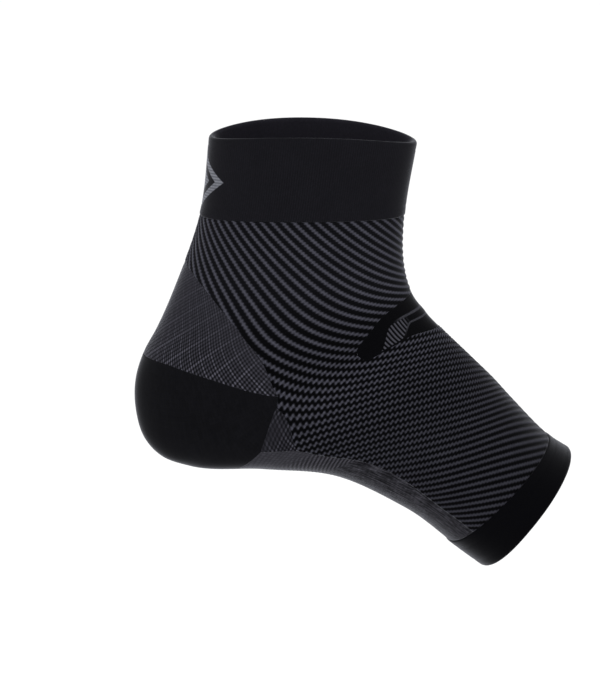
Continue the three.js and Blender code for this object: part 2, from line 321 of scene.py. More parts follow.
class RailMaker:
    """Draws the lines between the zones on the surface."""

    STEPS = 24

    def __init__(self, surface: SleeveSurface) -> None:
        """Keeps the surface that the lines lie on."""
        self.surface = surface

    def half(self, *lines: tuple[SidePoint, ...]) -> Array:
        """Spots of a near-side line that passes smoothly through the points of each piece in turn.

        Args:
            lines: Points of each piece, as shares of the length and of the depth.

        Returns:
            Rows of (length, turn).
        """
        spots = []
        for line in lines:
            points = np.array(line)
            padded = np.vstack([points[:1], points, points[-1:]])
            for i in range(len(points) - 1):
                before, start, end, after = padded[i:i + 4]
                t = np.linspace(0, 1, self.STEPS, endpoint=False)[:, None]
                leave, arrive = (end - before) / 2, (after - start) / 2
                spots.append(
                    (2 * start - 2 * end + leave + arrive) * t**3
                    + (-3 * start + 3 * end - 2 * leave - arrive) * t**2
                    + leave * t + start
                )
        spots.append(np.array(lines[-1][-1:]))
        shares = np.vstack(spots)
        length = shares[:, 0] * self.surface.length
        return np.stack([length, self.surface.turn_at(length, shares[:, 1])], 1)

    def rail(self, spots: Array) -> Rail:
        """A rail through the spots as they are."""
        return Rail(self.surface, spots)

    def over_back(self, half: Array) -> Rail:
        """A rail from the near end of a half line, across the back or the sole, to its mirrored end.

        Args:
            half: Spots of a near-side line.

        Returns:
            The rail.
        """
        near = half[::-1] if half[0, 1] < half[-1, 1] else half
        far = near[::-1][1:] * np.array([1, -1])
        return Rail(self.surface, np.vstack([near, far]))

    def over_front(self, half: Array) -> Rail:
        """A rail from the near end of a half line, across the front, to its mirrored end.

        Args:
            half: Spots of a near-side line.

        Returns:
            The rail.
        """
        near = half[::-1] if half[0, 1] > half[-1, 1] else half
        far = near[::-1][1:] * np.array([1, -1]) + np.array([0, 1])
        return Rail(self.surface, np.vstack([near, far]))

    def round(self, length: float) -> Rail:
        """The whole ring at one length."""
        return self.arc(length, 0, 1, 200)

    def arc(self, length: float, start: float, end: float, steps: int = 80) -> Rail:
        """Part of the ring at one length, from one turn to another."""
        turns = np.linspace(start, end, steps)
        return Rail(self.surface, np.stack([np.full_like(turns, length), turns], 1))

    def spot(self, point: SidePoint) -> Array:
        """A line of no length at a near-side point, for a side that ends in a tip."""
        return np.repeat(self.half((point, point))[:1], 2, axis=0)

    def far_back(self, spots: Array) -> Rail:
        """The mirror of a near-side line, reached over the back."""
        return Rail(self.surface, spots * np.array([1, -1]))

    def far_front(self, spots: Array) -> Rail:
        """The mirror of a near-side line, reached over the front."""
        return Rail(self.surface, spots * np.array([1, -1]) + np.array([0, 1]))

    def closed_over(self, half: Array) -> Rail:
        """A ring from the back centre over the near side, the front and the far side to the back again.

        Args:
            half: Spots of a near-side line.

        Returns:
            The rail.
        """
        near = half if half[0, 1] < half[-1, 1] else half[::-1]
        far = near[::-1][1:] * np.array([1, -1]) + np.array([0, 1])
        return Rail(self.surface, np.vstack([near, far]))


@dataclass(frozen=True)
class Patch:
    """A four-sided piece of the surface between two long rails and two side rails."""

    top: Rail
    bottom: Rail
    left: Rail
    right: Rail

    def spots(self, across: Array, down: Array) -> Array:
        """(length, turn) blended from the four sides.

        Args:
            across: Share of the way from the left side to the right.
            down: Share of the way from the top to the bottom.

        Returns:
            Rows of (length, turn).
        """
        u, v = across[:, None], down[:, None]
        top, bottom = self.top.at(across), self.bottom.at(across)
        left, right = self.left.at(down), self.right.at(down)
        ends = np.array([0.0, 1.0])
        top_left, top_right = self.top.at(ends)
        low_left, low_right = self.bottom.at(ends)
        corners = (1 - v) * ((1 - u) * top_left + u * top_right) + v * ((1 - u) * low_left + u * low_right)
        return (1 - v) * top + v * bottom + (1 - u) * left + u * right - corners


class StripeStation(NamedTuple):
    """The knit's stripes at one share of the sleeve's length, counted a quarter turn from the back."""

    share: float
    stripes: float       # stripes crossed since the first station
    around: float        # stripes crossed in one turn
    bend: float          # change of that towards the front, in stripes per turn squared
    columns: float       # columns of floats crossed since the first station


STRIPE_STATIONS = (
    StripeStation(0.15, 0.0, -50, 27, 0.0),
    StripeStation(0.24, 5.2, -49, 43, 9.3),
    StripeStation(0.34, 10.0, -51, 72, 17.3),
    StripeStation(0.45, 15.0, -50, 60, 24.6),
    StripeStation(0.57, 19.0, -27, -34, 33.5),
    StripeStation(0.72, 25.8, -33, -2, 47.5),
    StripeStation(0.93, 39.5, -52, 60, 74.8),
)


class Lattice:
    """Two numbers that place every stitch: the stripe that it lies in and the column of floats.

    A course is the column plus twice the stripe, and a wale is the column less twice the stripe.
    """

    COLUMNS_AROUND = 110.0

    def __init__(self, surface: SleeveSurface) -> None:
        """Keeps the sleeve's length and the stations as a table.

        Args:
            surface: The knit's outer face.
        """
        self.length = surface.length
        table = np.array(STRIPE_STATIONS)
        self.knots, self.values = table[:, 0], table[:, 1:]

    def at(self, length: Array, turn: Array) -> tuple[Array, Array]:
        """(stripe, column) at points of the surface, the far side mirroring the near one.

        Args:
            length: Millimetres along the middle of the sleeve.
            turn: Turns round it.

        Returns:
            Stripes and columns.
        """
        row = smooth_columns(self.knots, self.values, length / self.length)
        side = half_turn(turn) - 0.25
        stripe = row[:, 0] + row[:, 1] * side + row[:, 2] * side**2
        return stripe, row[:, 3] + self.COLUMNS_AROUND * side


def half_turn(turn: Array) -> Array:
    """Turns from the back or sole to a point, whichever side it is on."""
    wrapped = np.mod(turn, 1.0)
    return np.minimum(wrapped, 1 - wrapped)


def smooth_step(low: float, high: float, value: Array) -> Array:
    """Smooth rise from 0 at low to 1 at high."""
    t = np.clip((value - low) / (high - low), 0, 1)
    return t * t * (3 - 2 * t)


class KnitWork(Enum):
    """Ways in which a zone is knitted."""

    RIBS = "ribs"
    MESH = "mesh"
    PLAIN = "plain"
    SOLE = "sole"
    PATCH = "patch"


def turns_wave(turns: Array) -> Array:
    """Cosine of whole turns."""
    return np.cos(2 * math.pi * turns)


@dataclass(frozen=True)
class Threads:
    """What one zone's knit is made of at each point: three numbers, which differ with the work.

    All but mesh zones have the stripe and the column first, and mesh zones the counts of their two crossing
    sets of lines. The third is how far ribs break into floats, or the patch's depth inside its leaf of rungs.
    """

    first: Array
    second: Array
    third: Array


# The stripes of floats, shared by the relief and the colour. Spans are shares of the sleeve's length.
RISING = 1.00                 # weight of the floats that lean towards the toes
FALLING = -0.62               # and of those that lean back
BEADS = 0.25                  # and of the beads along a stripe
FLOAT_REACH = 1.25            # how much the floats add to the height of a stripe
RIB_FLANK = (-0.60, 1.25)     # where a stripe's flank starts and ends, as heights of its wave
FOOT_FULLER = 0.12            # how much fuller the stripes are on the foot than on the leg
FOOT_SPAN = (0.36, 0.50)
TOE_FULLER = 0.20             # and how much more towards the toes
TOE_SPAN = (0.62, 0.78)
LEG_DASH = 0.12               # how far stripes break into floats on the leg, where 1 is wholly
DASH_SPAN = (0.37, 0.52)      # and over what span they come to break up on the foot
TOE_CALM = 0.78               # how much of that is lost again towards the toes
CALM_SPAN = (0.68, 0.82)
CALM_LEAN = (0.35, 0.30)      # how fast, and from which turn on, the calm comes sooner over the front
RUNGS = (1.10, 1.07)          # shares of stripe and column in the rungs under the arch
RUNG_START = 0.62             # where the rungs start to rise behind the arch
RUNG_RISE = 0.04              # and over what share of the length they do


@dataclass(frozen=True)
class Relief:
    """Heights in millimetres that the yarns stand proud of the face."""

    ribs: float = 0.30
    mesh: float = 0.10
    sole: float = 0.12
    patch: float = 0.12

    def of(self, work: KnitWork, threads: Threads, place: Array) -> Array:
        """Height over the face at each point.

        Args:
            work: The zone's way of knitting.
            threads: The knit's counts.
            place: Rows of (across, down, share of the sleeve's length).

        Returns:
            Heights in millimetres.
        """
        if work is KnitWork.RIBS:
            stripe, column, dash = threads.first, threads.second, threads.third
            floats = RISING * turns_wave(stripe + column) + FALLING * turns_wave(stripe - column)
            height = (turns_wave(stripe) + dash * floats) / (1 + FLOAT_REACH * dash)
            foot, toes = smooth_step(*FOOT_SPAN, place[:, 2]), smooth_step(*TOE_SPAN, place[:, 2])
            fuller = FOOT_FULLER * foot + TOE_FULLER * toes
            return self.ribs * smooth_step(*RIB_FLANK, height + fuller)
        if work is KnitWork.MESH:
            return self.mesh * (0.5 + 0.25 * (turns_wave(threads.first) + turns_wave(threads.second)))
        if work is KnitWork.SOLE:
            rungs = turns_wave(RUNGS[0] * threads.first + RUNGS[1] * threads.second)
            rising = smooth_step(RUNG_START, RUNG_START + RUNG_RISE, place[:, 2])
            return self.sole * (0.5 + 0.5 * rungs) * rising
        if work is KnitWork.PATCH:
            return self.patch * smooth_step(-0.03, 0.06, threads.third)
        return np.zeros(len(place))


def ladder_depth(across: Array, down: Array) -> Array:
    """How far inside the patch's leaf of rungs a point lies, as a share of the patch's height.

    Args:
        across: Share of the way from the patch's left side to the right.
        down: Share of the way from its top to its bottom.

    Returns:
        Depths, below 0 outside the leaf.
    """
    reach = 1 - np.abs(2 * across - 1)
    upper, lower = (
        start + drop * (1 - smooth_step(*span, reach))
        for start, drop, span in ((0.33, 0.62, (0.20, 0.46)), (0.55, 0.42, (0.45, 0.66)))
    )
    return np.minimum(down - upper, lower - down)


@dataclass
class KnitZone:
    """One knitted zone: a face with the yarns' relief, a coarser lining and closed edges between them."""

    name: str
    work: KnitWork
    slot: str
    cell: float = 0.55
    lining_share: int = 4
    ring: bool = False
    mesh_first: tuple[float, float] = (0.83, 1.30)     # shares of stripe and column in one set of lines
    mesh_second: tuple[float, float] = (-2.97, 0.41)   # and in the other
    tone: float = 1.0
    FADE: ClassVar[float] = 0.6                        # millimetres from an edge over which the relief rises
    LEAST_HEIGHT: ClassVar[float] = 8.0                # taken for a side that ends in a tip
    SPINE_STEPS: ClassVar[int] = 60

    def build(
        self, surface: SleeveSurface, lattice: Lattice, patch: Patch, relief: Relief,
    ) -> bpy.types.Object:
        """Makes the zone's two skins and joins them.

        Args:
            surface: The knit's outer face.
            lattice: Stripes and columns.
            patch: The piece of the surface that the zone covers.
            relief: Heights of the yarns.

        Returns:
            The finished mesh object.
        """
        columns = max(8, round(max(patch.top.size, patch.bottom.size) / self.cell))
        middle = np.full(self.SPINE_STEPS, 0.25 if self.ring else 0.5)
        spine, _ = surface.at(*patch.spots(middle, np.linspace(0, 1, self.SPINE_STEPS)).T)
        spine_size = float(np.linalg.norm(np.diff(spine, axis=0), axis=1).sum())
        rows = max(6, round(max(patch.left.size, patch.right.size, spine_size) / self.cell))
        face = self._skin(surface, lattice, patch, relief, (columns, rows))
        coarse = (max(4, columns // self.lining_share), max(3, rows // self.lining_share))
        lining = self._skin(surface, lattice, patch, None, coarse)
        piece = join_skins(face, lining, self.ring)
        piece.name = self.name
        piece.data.name = self.name
        return piece

    def _skin(
        self, surface: SleeveSurface, lattice: Lattice, patch: Patch, relief: Relief | None,
        counts: tuple[int, int],
    ) -> bpy.types.Object:
        """One grid, laid on the patch and offset from the surface; without a relief it is the lining.

        Args:
            surface: The knit's outer face.
            lattice: Stripes and columns.
            patch: The piece of the surface that the zone covers.
            relief: Heights of the yarns, or None for the lining.
            counts: Cells across and down.

        Returns:
            The skin, with its faces turned the right way.
        """
        piece = add_grid(*counts)
        flat = read_points(piece)
        across, down = flat[:, 0] + 0.5, flat[:, 1] + 0.5
        spots = patch.spots(across, down)
        points, normals = surface.at(spots[:, 0], spots[:, 1])
        threads = self._threads(surface, lattice, spots, across, down)
        place = np.stack([across, down, spots[:, 0] / surface.length], 1)
        if relief is None:
            offset = np.full(len(points), -surface.sizes.knit_wall)
        else:
            offset = relief.of(self.work, threads, place) * self._edge_fade(patch, across, down)
        write_points(piece, (points + normals * offset[:, None]) * MM)
        add_vectors(piece, "knit", np.stack([threads.first, threads.second, threads.third], 1))
        add_vectors(piece, "place", place)
        clean_grid(piece, inside=relief is None, normals=normals)
        return piece

    def _threads(
        self, surface: SleeveSurface, lattice: Lattice, spots: Array, across: Array, down: Array,
    ) -> Threads:
        """The knit's three numbers at each spot.

        Args:
            surface: The knit's outer face.
            lattice: Stripes and columns.
            spots: Rows of (length, turn).
            across: Share of the way from the left side to the right.
            down: Share of the way from the top to the bottom.

        Returns:
            What the zone's work needs at each spot.
        """
        stripe, column = lattice.at(spots[:, 0], spots[:, 1])
        if self.work is KnitWork.MESH:
            (a, b), (c, d) = self.mesh_first, self.mesh_second
            return Threads(a * stripe + b * column, c * stripe + d * column, np.full_like(stripe, self.tone))
        if self.work is KnitWork.PATCH:
            return Threads(stripe, column, ladder_depth(across, down))
        return Threads(stripe, column, self._dash(surface, spots))

    def _dash(self, surface: SleeveSurface, spots: Array) -> Array:
        """How far the ribs break up into floats: most at the middle of the foot, little at the ankle.

        Args:
            surface: The knit's outer face.
            spots: Rows of (length, turn).

        Returns:
            Shares from 0, whole ribs, to 1, floats alone.
        """
        share = spots[:, 0] / surface.length
        lean, middle = CALM_LEAN
        foot = smooth_step(*DASH_SPAN, share)
        toes = smooth_step(*CALM_SPAN, share + lean * (half_turn(spots[:, 1]) - middle))
        return (LEG_DASH + (1 - LEG_DASH) * foot) * (1 - TOE_CALM * toes)

    def _edge_fade(self, patch: Patch, across: Array, down: Array) -> Array:
        """Falls to 0 at the zone's edges, so that neighbours meet at one height.

        Args:
            patch: The piece of the surface that the zone covers.
            across: Share of the way from the left side to the right.
            down: Share of the way from the top to the bottom.

        Returns:
            Factors from 0 to 1.
        """
        width = (1 - down) * patch.top.size + down * patch.bottom.size
        height = (1 - across) * patch.left.size + across * patch.right.size
        side = np.minimum(across, 1 - across) * width
        ends = np.minimum(down, 1 - down) * np.maximum(height, self.LEAST_HEIGHT)
        near = ends if self.ring else np.minimum(side, ends)
        return smooth_step(0, self.FADE, near)


def deselect() -> None:
    """Leaves nothing selected."""
    bpy.ops.object.select_all(action="DESELECT")


def activate(piece: bpy.types.Object) -> None:
    """Makes one object the only selected and the active one.

    Args:
        piece: The mesh object.
    """
    deselect()
    piece.select_set(True)
    bpy.context.view_layer.objects.active = piece


def add_grid(columns: int, rows: int) -> bpy.types.Object:
    """Adds a unit grid of so many cells.

    Args:
        columns: Cells across.
        rows: Cells down.

    Returns:
        The grid, one by one metre, flat on the origin.
    """
    deselect()
    bpy.ops.mesh.primitive_grid_add(x_subdivisions=columns, y_subdivisions=rows, size=1, calc_uvs=False)
    return bpy.context.object


def read_points(piece: bpy.types.Object) -> Array:
    """The mesh's points, one to a row.

    Args:
        piece: The mesh object.

    Returns:
        Rows of three coordinates.
    """
    flat = np.zeros(len(piece.data.vertices) * 3)
    piece.data.vertices.foreach_get("co", flat)
    return flat.reshape(-1, 3)


def write_points(piece: bpy.types.Object, points: Array) -> None:
    """Puts the mesh's points in their places."""
    piece.data.vertices.foreach_set("co", points.ravel())
    piece.data.update()


def add_vectors(piece: bpy.types.Object, name: str, values: Array) -> None:
    """Adds a named vector to every point of the mesh."""
    layer = piece.data.attributes.new(name, "FLOAT_VECTOR", "POINT")
    layer.data.foreach_set("vector", values.astype(np.float32).ravel())


MERGE_REACH = 0.004           # millimetres within which points are one
FACES_SAMPLED = 400           # faces looked at to tell which way a skin faces


def clean_grid(piece: bpy.types.Object, inside: bool, normals: Array) -> None:
    """Merges meeting points and turns the faces outwards, or inwards on a lining.

    Args:
        piece: The mesh object.
        inside: True if the faces are to look inwards.
        normals: Outward normals of the points.
    """
    faces = piece.data.polygons
    step = max(1, len(faces) // FACES_SAMPLED)
    facing = sum(
        float(np.dot(faces[i].normal, normals[faces[i].vertices[0]])) * faces[i].area
        for i in range(0, len(faces), step)
    )
    activate(piece)
    bpy.ops.object.mode_set(mode="EDIT")
    bpy.ops.mesh.select_all(action="SELECT")
    if (facing > 0) == inside:
        bpy.ops.mesh.flip_normals()
    bpy.ops.mesh.remove_doubles(threshold=MERGE_REACH * MM)
    bpy.ops.object.mode_set(mode="OBJECT")


def select_rim(piece: bpy.types.Object, length_range: tuple[float, float] | None) -> int:
    """Selects the open edges in edit mode, or those whose down share lies in a range.

    Args:
        piece: The mesh object, in edit mode.
        length_range: Least and greatest share, or None for all open edges.

    Returns:
        How many edges are selected.
    """
    mesh = bmesh.from_edit_mesh(piece.data)
    place = mesh.verts.layers.float_vector["place"]
    found = 0
    for edge in mesh.edges:
        inside = length_range is None or all(
            length_range[0] <= vert[place].y <= length_range[1] for vert in edge.verts
        )
        edge.select = edge.is_boundary and inside
        found += edge.select
    bmesh.update_edit_mesh(piece.data)
    return found


def join_skins(face: bpy.types.Object, lining: bpy.types.Object, ring: bool) -> bpy.types.Object:
    """Joins a face and its lining and closes the wall between their open edges.

    Args:
        face: The outer skin.
        lining: The inner skin, with its faces already turned inwards.
        ring: True if each skin has an upper and a lower rim.

    Returns:
        The one closed piece.
    """
    activate(face)
    lining.select_set(True)
    bpy.ops.object.join()
    piece = bpy.context.object
    bpy.ops.object.mode_set(mode="EDIT")
    bpy.ops.mesh.select_mode(type="EDGE")
    for span in ([(-1.0, 0.5), (0.5, 2.0)] if ring else [None]):
        bpy.ops.mesh.select_all(action="DESELECT")
        select_rim(piece, span)
        bpy.ops.mesh.bridge_edge_loops()
    bpy.ops.object.mode_set(mode="OBJECT")
    activate(piece)
    bpy.ops.object.shade_smooth()
    return piece


@dataclass
class Cuff:
    """A double-layer cuff: one band of knit, folded over at the rim, with its two ends closed at the knit."""

    name: str
    slot: str
    rim: float
    edge: float
    cell: float = 0.6
    groove: float = 0.12
    WALES: ClassVar[int] = 240
    GROOVE_FROM_EDGE: ClassVar[float] = 3.4
    GROOVE_FROM_RIM: ClassVar[float] = 4.2
    GROOVE_REACH: ClassVar[float] = 0.6                # millimetres from a groove's side to its floor
    FOLD_STEPS: ClassVar[int] = 12

    def build(self, surface: SleeveSurface) -> bpy.types.Object:
        """Makes the folded band.

        Args:
            surface: The knit's outer face.

        Returns:
            The finished mesh object.
        """
        path = self._path(surface.sizes)
        walked = np.concatenate([[0], np.cumsum(np.linalg.norm(np.diff(path, axis=0), axis=1))])
        ring = RailMaker(surface).round((self.rim + self.edge) / 2)
        columns = round(ring.size / self.cell)
        rows = round(walked[-1] / self.cell)
        piece = add_grid(columns, rows)
        flat = read_points(piece)
        turn, share = flat[:, 0] + 0.5, (flat[:, 1] + 0.5) * walked[-1]
        length = np.interp(share, walked, path[:, 0])
        offset = np.interp(share, walked, path[:, 1])
        points, normals = surface.at(length, turn)
        inner = share > walked[-1] / 2
        write_points(piece, (points + normals * offset[:, None]) * MM)
        half = half_turn(turn)
        add_vectors(piece, "knit", np.stack([half * self.WALES, length, np.zeros_like(half)], 1))
        # The third place value marks the inner layer, which the cuff's finish paints lighter against the
        # shade inside the cuff.
        add_vectors(piece, "place", np.stack([half, share / walked[-1], inner.astype(float)], 1))
        outwards = np.where(inner[:, None], -normals, normals)
        clean_grid(piece, inside=False, normals=outwards)
        activate(piece)
        bpy.ops.object.mode_set(mode="EDIT")
        bpy.ops.mesh.select_mode(type="EDGE")
        bpy.ops.mesh.select_all(action="DESELECT")
        select_rim(piece, None)
        bpy.ops.mesh.bridge_edge_loops()
        bpy.ops.object.mode_set(mode="OBJECT")
        bpy.ops.object.shade_smooth()
        piece.name = self.name
        piece.data.name = self.name
        return piece

    def _path(self, sizes: SleeveSizes) -> Array:
        """(length, offset) from the knit's end up the outside, round the fold and down the inside.

        Args:
            sizes: The driving sizes.

        Returns:
            Rows of (length, offset).
        """
        inwards = math.copysign(1.0, self.edge - self.rim)
        radius = sizes.cuff_wall / 2
        middle = sizes.cuff_step - radius
        soft = sizes.cuff_step / 2
        path = [(self.edge, sizes.cuff_step - 2 * soft)]
        path += [(self.edge - inwards * soft / 2, sizes.cuff_step - soft / 2)]
        path += [(self.edge - inwards * 2 * soft, sizes.cuff_step)]
        step = inwards * self.GROOVE_REACH
        for start in (self.edge - inwards * self.GROOVE_FROM_EDGE, self.rim + inwards * self.GROOVE_FROM_RIM):
            path += [(start, sizes.cuff_step), (start - step, sizes.cuff_step - self.groove)]
            path += [(start - 2 * step, sizes.cuff_step)]
        for i in range(self.FOLD_STEPS + 1):
            angle = math.pi * i / self.FOLD_STEPS
            length = self.rim + inwards * radius * (1 - math.sin(angle))
            path.append((length, middle + radius * math.cos(angle)))
        path += [(self.edge, sizes.cuff_step - sizes.cuff_wall)]
        return np.array(path)


Sockets = tuple[bpy.types.NodeSocket, ...]


class NodeSheet:
    """Short-hand for wiring shader nodes in one tree."""

    def __init__(self, tree: bpy.types.NodeTree) -> None:
        """Keeps the tree."""
        self.tree = tree

    def node(self, kind: str, **settings: object) -> bpy.types.Node:
        """Adds a node with some of its settings.

        Args:
            kind: The node's type.
            settings: Its properties by name.

        Returns:
            The node.
        """
        made = self.tree.nodes.new(kind)
        for name, value in settings.items():
            setattr(made, name, value)
        return made

    def feed(self, socket: bpy.types.NodeSocket, value: object) -> None:
        """Links a socket to another, or sets its value.

        Args:
            socket: The input.
            value: A socket to link, or a value.
        """
        if isinstance(value, bpy.types.NodeSocket):
            self.tree.links.new(value, socket)
        else:
            socket.default_value = value

    def math(self, operation: str, *values: object) -> bpy.types.NodeSocket:
        """A Math node's result.

        Args:
            operation: The node's operation.
            values: Sockets or numbers.

        Returns:
            The result.
        """
        made = self.node("ShaderNodeMath", operation=operation)
        for socket, value in zip(made.inputs, values):
            self.feed(socket, value)
        return made.outputs[0]

    def total(self, *terms: tuple[float, object]) -> bpy.types.NodeSocket:
        """Sum of (weight, value) terms.

        Args:
            terms: Weights, each with its socket or number.

        Returns:
            The sum.
        """
        weight, value = terms[0]
        result = self.math("MULTIPLY", value, weight)
        for weight, value in terms[1:]:
            result = self.math("MULTIPLY_ADD", value, weight, result)
        return result

    def product(self, *values: object) -> bpy.types.NodeSocket:
        """Product of two or more values.

        Args:
            values: Sockets or numbers, the first a socket.

        Returns:
            The product.
        """
        result = values[0]
        for value in values[1:]:
            result = self.math("MULTIPLY", result, value)
        return result

    def less(self, value: object) -> bpy.types.NodeSocket:
        """One less the value."""
        return self.math("SUBTRACT", 1.0, value)

    def ramp(self, value: object, low: float, high: float) -> bpy.types.NodeSocket:
        """Smooth rise of a value from low to high.

        Args:
            value: A socket or a number.
            low: Where the result is 0.
            high: Where it is 1.

        Returns:
            The result, 0 to 1.
        """
        made = self.node("ShaderNodeMapRange", interpolation_type="SMOOTHSTEP")
        self.feed(made.inputs["Value"], value)
        made.inputs["From Min"].default_value = low
        made.inputs["From Max"].default_value = high
        return made.outputs["Result"]

    def wave(self, turns: object) -> bpy.types.NodeSocket:
        """Cosine of a number of whole turns."""
        return self.math("COSINE", self.math("MULTIPLY", turns, 2 * math.pi))

    def dome(self, count: object, power: float) -> bpy.types.NodeSocket:
        """One rounded hump for each whole number."""
        hump = self.math("ABSOLUTE", self.math("SINE", self.math("MULTIPLY", count, math.pi)))
        return self.math("POWER", hump, power)

    def blend(self, factor: object, first: object, second: object) -> bpy.types.NodeSocket:
        """Mix of two colours.

        Args:
            factor: Share of the second.
            first: A socket or a value.
            second: A socket or a value.

        Returns:
            The mixed colour.
        """
        made = self.node("ShaderNodeMix", data_type="RGBA")
        for socket, value in ((made.inputs[0], factor), (made.inputs[6], first), (made.inputs[7], second)):
            self.feed(socket, value)
        return made.outputs[2]

    def shift(self, factor: object, first: object, second: object) -> bpy.types.NodeSocket:
        """Mix of two values."""
        return self.math("MULTIPLY_ADD", factor, self.math("SUBTRACT", second, first), first)

    def pair(self, first: object, second: object) -> bpy.types.NodeSocket:
        """A vector of two values.

        Args:
            first: A socket or a value.
            second: A socket or a value.

        Returns:
            The vector.
        """
        made = self.node("ShaderNodeCombineXYZ")
        self.feed(made.inputs[0], first)
        self.feed(made.inputs[1], second)
        return made.outputs[0]

    def split(self, attribute: str) -> Sockets:
        """The three values of a named attribute of the mesh.

        Args:
            attribute: Its name.

        Returns:
            Three sockets.
        """
        source = self.node("ShaderNodeAttribute", attribute_name=attribute, attribute_type="GEOMETRY")
        parts = self.node("ShaderNodeSeparateXYZ")
        self.feed(parts.inputs[0], source.outputs["Vector"])
        return tuple(parts.outputs)


class Group:
    """A node group of plain values that several finishes place."""

    def __init__(self, name: str, inputs: tuple[str, ...], outputs: tuple[str, ...]) -> None:
        """Makes the group and its named sockets.

        Args:
            name: The group's name.
            inputs: Names of its inputs.
            outputs: Names of its outputs.
        """
        self.tree = bpy.data.node_groups.new(name, "ShaderNodeTree")
        for label in inputs:
            self.tree.interface.new_socket(name=label, in_out="INPUT", socket_type="NodeSocketFloat")
        for label in outputs:
            self.tree.interface.new_socket(name=label, in_out="OUTPUT", socket_type="NodeSocketFloat")
        self.sheet = NodeSheet(self.tree)
        source = self.sheet.node("NodeGroupInput")
        self.given = {label: source.outputs[label] for label in inputs}
        self.out = self.sheet.node("NodeGroupOutput").inputs

    def give(self, label: str, value: object) -> None:
        """Feeds one of the outputs."""
        self.sheet.feed(self.out[label], value)


def make_stitches() -> Group:
    """Single stitches: a hump for each, parted by grooves, and each with its own tone.

    Returns:
        The group.
    """
    group = Group("stitches", ("Stripe", "Column"), ("Round", "Tone"))
    sheet, given = group.sheet, group.given
    course = sheet.math("MULTIPLY_ADD", given["Stripe"], 2.0, given["Column"])
    wale = sheet.math("MULTIPLY_ADD", given["Stripe"], -2.0, given["Column"])
    group.give("Round", sheet.product(sheet.dome(course, 0.6), sheet.dome(wale, 0.35)))
    noise = sheet.node("ShaderNodeTexWhiteNoise", noise_dimensions="3D")
    sheet.feed(noise.inputs["Vector"], sheet.pair(sheet.math("FLOOR", wale), sheet.math("FLOOR", course)))
    group.give("Tone", noise.outputs["Value"])
    return group


def make_fuzz() -> Group:
    """Loose fibres and uneven dye over the whole cloth.

    Returns:
        The group.
    """
    group = Group("fuzz", ("Scale",), ("Fibre", "Cloud"))
    sheet = group.sheet
    where = sheet.node("ShaderNodeTexCoord").outputs["Object"]
    for label, scale, detail in (("Fibre", group.given["Scale"], 3.0), ("Cloud", 90.0, 2.0)):
        noise = sheet.node("ShaderNodeTexNoise")
        for socket, value in (("Vector", where), ("Scale", scale), ("Detail", detail)):
            sheet.feed(noise.inputs[socket], value)
        group.give(label, noise.outputs["Fac"])
    return group


# How deep the dents between beads are, how light the stripes, and how grey the ground between them: the
# span of the length over which each changes, its value before it and after it. The stripes' darkening towards
# the toes is painted shade of the forefoot turned from the key light.
RIB_TONES = (((0.40, 0.52), 0.14, 0.05), ((0.44, 0.84), 1.0, 0.66), ((0.24, 0.46), 0.22, 0.04))


def make_float_ribs() -> Group:
    """Slanting stripes of grey yarn on black, which break up into single floats as Dash rises.

    Returns:
        The group.
    """
    group = Group("float_ribs", ("Stripe", "Column", "Dash", "Share"), ("Grey",))
    sheet, given = group.sheet, group.given
    stripe, column = given["Stripe"], given["Column"]
    rising = sheet.wave(sheet.math("ADD", stripe, column))
    falling = sheet.wave(sheet.math("SUBTRACT", stripe, column))
    beads = sheet.wave(column)
    floats = sheet.total((RISING, rising), (FALLING, falling), (BEADS, beads))
    broken = sheet.math("MULTIPLY_ADD", floats, given["Dash"], sheet.wave(stripe))
    level = sheet.math("DIVIDE", broken, sheet.math("MULTIPLY_ADD", given["Dash"], FLOAT_REACH, 1.0))
    foot = sheet.ramp(given["Share"], *FOOT_SPAN)
    toes = sheet.ramp(given["Share"], *TOE_SPAN)
    grey = sheet.ramp(sheet.total((FOOT_FULLER, foot), (TOE_FULLER, toes), (1.0, level)), *RIB_FLANK)
    # The stripes' lightness falls from the leg to the toes as painted shade of the forefoot.
    rope, stripe_top_with_painted_shade, ground = (
        sheet.shift(sheet.ramp(given["Share"], *span), leg, foot) for span, leg, foot in RIB_TONES
    )
    grey = sheet.product(grey, sheet.less(sheet.product(rope, sheet.less(beads))))
    group.give("Grey", sheet.shift(grey, ground, stripe_top_with_painted_shade))
    return group


LIGHT_LINES = (("First", 5.0), ("Second", 4.0))    # of each set, one line in so many is lighter
LIGHT_LINE_EDGE = 0.86                             # height of the line's wave at which it starts to show


def make_line_mesh() -> Group:
    """Two crossing sets of dotted lines, some of each lighter, so that they part the cloth in lozenges.

    Returns:
        The group.
    """
    group = Group("line_mesh", ("First", "Second", "Strength", "Tone"), ("Grey",))
    sheet, given = group.sheet, group.given
    fine = [sheet.wave(given[label]) for label in ("First", "Second")]
    mesh = sheet.product(sheet.total((0.20, fine[0]), (0.22, fine[1])), given["Strength"])
    light = []
    for (label, every), crossing in zip(LIGHT_LINES, reversed(fine)):
        line = sheet.ramp(sheet.wave(sheet.math("DIVIDE", given[label], every)), LIGHT_LINE_EDGE, 1.0)
        light.append(sheet.product(line, sheet.math("MULTIPLY_ADD", crossing, 0.35, 0.65)))
    lozenges = sheet.product(sheet.math("MAXIMUM", *light), given["Strength"])
    grey = sheet.total((1.0, mesh), (0.32, lozenges), (-0.12, given["Strength"]), (1.0, 0.54))
    group.give("Grey", sheet.product(grey, given["Tone"]))
    return group


STRAND_SIZE = (0.70, 0.11)    # noise cells to a wale across the strands, and to a course along them


